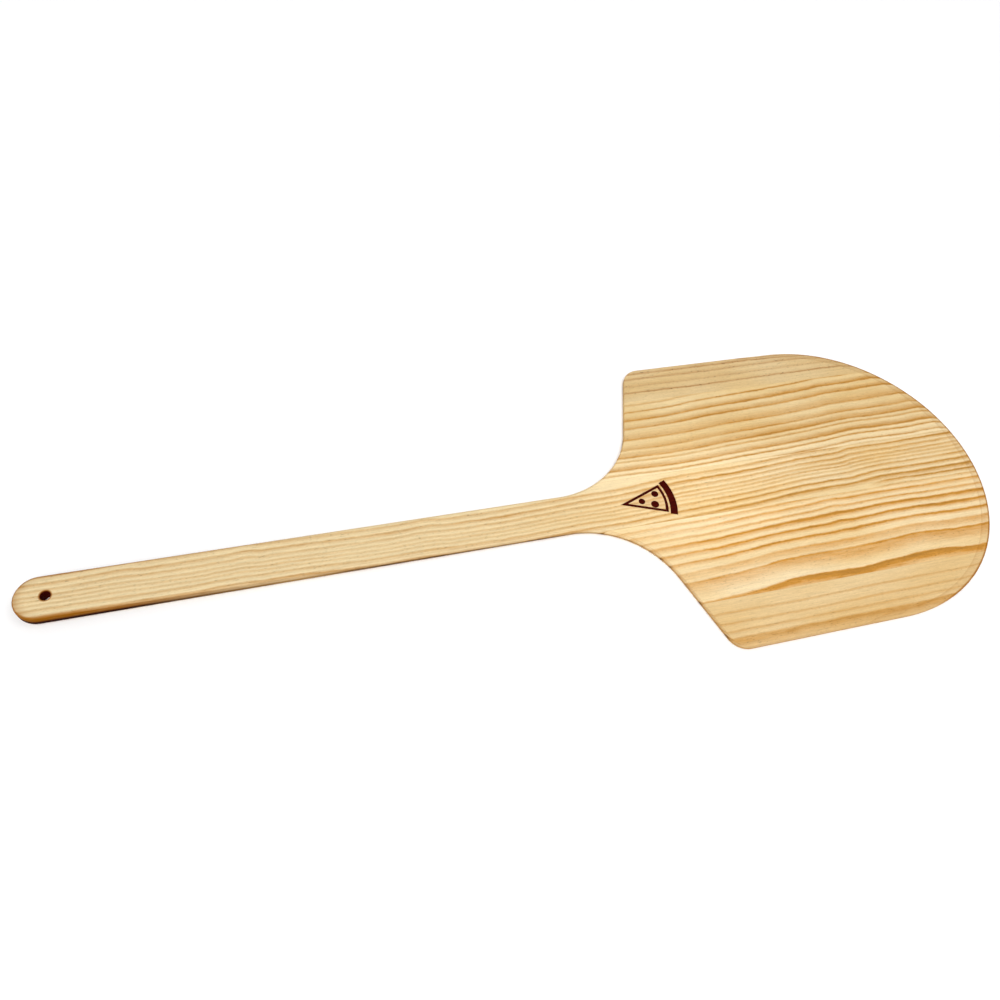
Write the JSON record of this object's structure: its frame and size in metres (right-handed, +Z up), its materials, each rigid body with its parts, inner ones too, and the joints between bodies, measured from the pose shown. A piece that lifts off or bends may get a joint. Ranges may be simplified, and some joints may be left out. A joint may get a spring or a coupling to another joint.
{
  "type": "pizza peel",
  "caption": "Flat wooden pizza peel: long round-ended handle with a hanging hole, sloping shoulders and a blade with a round, bevelled front edge.",
  "frame": {"origin": "on the flat underside, midway along the length and on the centre line", "axes": "+X from the grip's end to the blade's front edge, +Y across the blade, +Z up, out of the top face"},
  "size_m": [0.9144, 0.32, 0.012],
  "materials": {
    "edge_board_wood": "fine-sanded bare pine, satin, flat-sawn with faint level grain",
    "blade_board_wood": "fine-sanded bare pine, satin, with golden-brown growth rings",
    "centre_board_wood": "fine-sanded bare pine, satin, with close growth rings and a burnt-in pictogram",
    "wood_glue": "cured amber wood glue, sanded flush"
  },
  "bodies": {
    "root": {"left_edge_board": "edge_board_wood", "left_board": "blade_board_wood", "centre_board_with_handle": "centre_board_wood", "right_board": "blade_board_wood", "right_edge_board": "edge_board_wood", "glue_line_left_outer": "wood_glue", "glue_line_left_inner": "wood_glue", "glue_line_right_inner": "wood_glue", "glue_line_right_outer": "wood_glue"}
  },
  "joints": []
}
